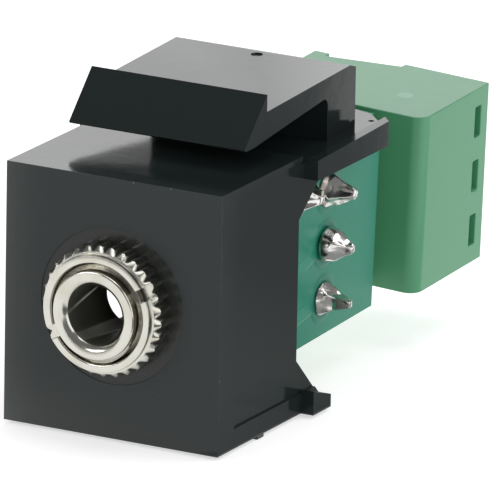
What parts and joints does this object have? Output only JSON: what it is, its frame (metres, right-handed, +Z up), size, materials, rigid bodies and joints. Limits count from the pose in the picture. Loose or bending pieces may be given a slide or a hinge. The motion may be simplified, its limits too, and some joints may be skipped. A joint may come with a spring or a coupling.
{
  "type": "keystone audio jack module",
  "caption": "Black snap-in panel block with a nickel 3.5 mm stereo socket in front and a green pluggable screw terminal on a board behind.",
  "frame": {"origin": "on the socket's axis, in the plane of the block's front face", "axes": "+Z up towards the latch, +Y to the rear along the socket's axis, +X to the side that carries the board"},
  "size_m": [0.0162, 0.0363, 0.0203],
  "materials": {
    "black_moulding": "glossy black moulded plastic",
    "nickel": "bright warm nickel plate",
    "socket_moulding": "matte black moulded plastic",
    "spring_metal": "silver-plated phosphor bronze",
    "board": "teal solder mask",
    "solder": "bright solder",
    "tinned_pin": "tin-plated brass",
    "green_moulding": "satin green moulded plastic",
    "contact_brass": "tinned brass strip",
    "plated_steel": "zinc-plated steel"
  },
  "bodies": {
    "module": {"housing": "black_moulding", "ring_nut": "nickel", "socket_bushing": "nickel", "socket_body": "socket_moulding", "socket_end_cap": "socket_moulding", "sleeve_contact": "spring_metal", "ring_contact": "spring_metal", "tip_contact": "spring_metal", "circuit_board": "board", "sleeve_solder": "solder", "ring_solder": "solder", "tip_solder": "solder", "header_shell": "green_moulding", "header_pin_1": "tinned_pin", "header_pin_2": "tinned_pin", "header_pin_3": "tinned_pin", "header_solder_1": "solder", "header_solder_2": "solder", "header_solder_3": "solder"},
    "plug": {"plug_body": "green_moulding", "plug_contact_1": "contact_brass", "plug_contact_2": "contact_brass", "plug_contact_3": "contact_brass"},
    "screw_1": {"clamp_screw_1": "plated_steel"},
    "cage_1": {"clamp_cage_1": "plated_steel"},
    "screw_2": {"clamp_screw_2": "plated_steel"},
    "cage_2": {"clamp_cage_2": "plated_steel"},
    "screw_3": {"clamp_screw_3": "plated_steel"},
    "cage_3": {"clamp_cage_3": "plated_steel"}
  },
  "joints": [
    {"name": "plug_slide", "type": "slide", "parent": "module", "child": "plug", "axis": [0.0019, 0.9993, 0.0366], "range_m": [0, 0.008]},
    {"name": "screw_1_turn", "type": "hinge", "parent": "plug", "child": "screw_1", "pos_m": [-0.00261, 0.02859, -0.00201], "axis": [0.9987, 0, -0.0506], "range_deg": [0, 1711]},
    {"name": "cage_1_rise", "type": "slide", "parent": "plug", "child": "cage_1", "axis": [-0.9987, 0, 0.0506], "range_m": [0, 0.0019]},
    {"name": "screw_2_turn", "type": "hinge", "parent": "plug", "child": "screw_2", "pos_m": [-0.00243, 0.02846, 0.00148], "axis": [0.9987, 0, -0.0506], "range_deg": [0, 1711]},
    {"name": "cage_2_rise", "type": "slide", "parent": "plug", "child": "cage_2", "axis": [-0.9987, 0, 0.0506], "range_m": [0, 0.0019]},
    {"name": "screw_3_turn", "type": "hinge", "parent": "plug", "child": "screw_3", "pos_m": [-0.00225, 0.02834, 0.00497], "axis": [0.9987, 0, -0.0506], "range_deg": [0, 1711]},
    {"name": "cage_3_rise", "type": "slide", "parent": "plug", "child": "cage_3", "axis": [-0.9987, 0, 0.0506], "range_m": [0, 0.0019]}
  ],
  "couplings": [
    {"joint": "screw_1_turn", "follows": "cage_1_rise", "rad_per_m": 15708},
    {"joint": "screw_2_turn", "follows": "cage_2_rise", "rad_per_m": 15708},
    {"joint": "screw_3_turn", "follows": "cage_3_rise", "rad_per_m": 15708}
  ]
}
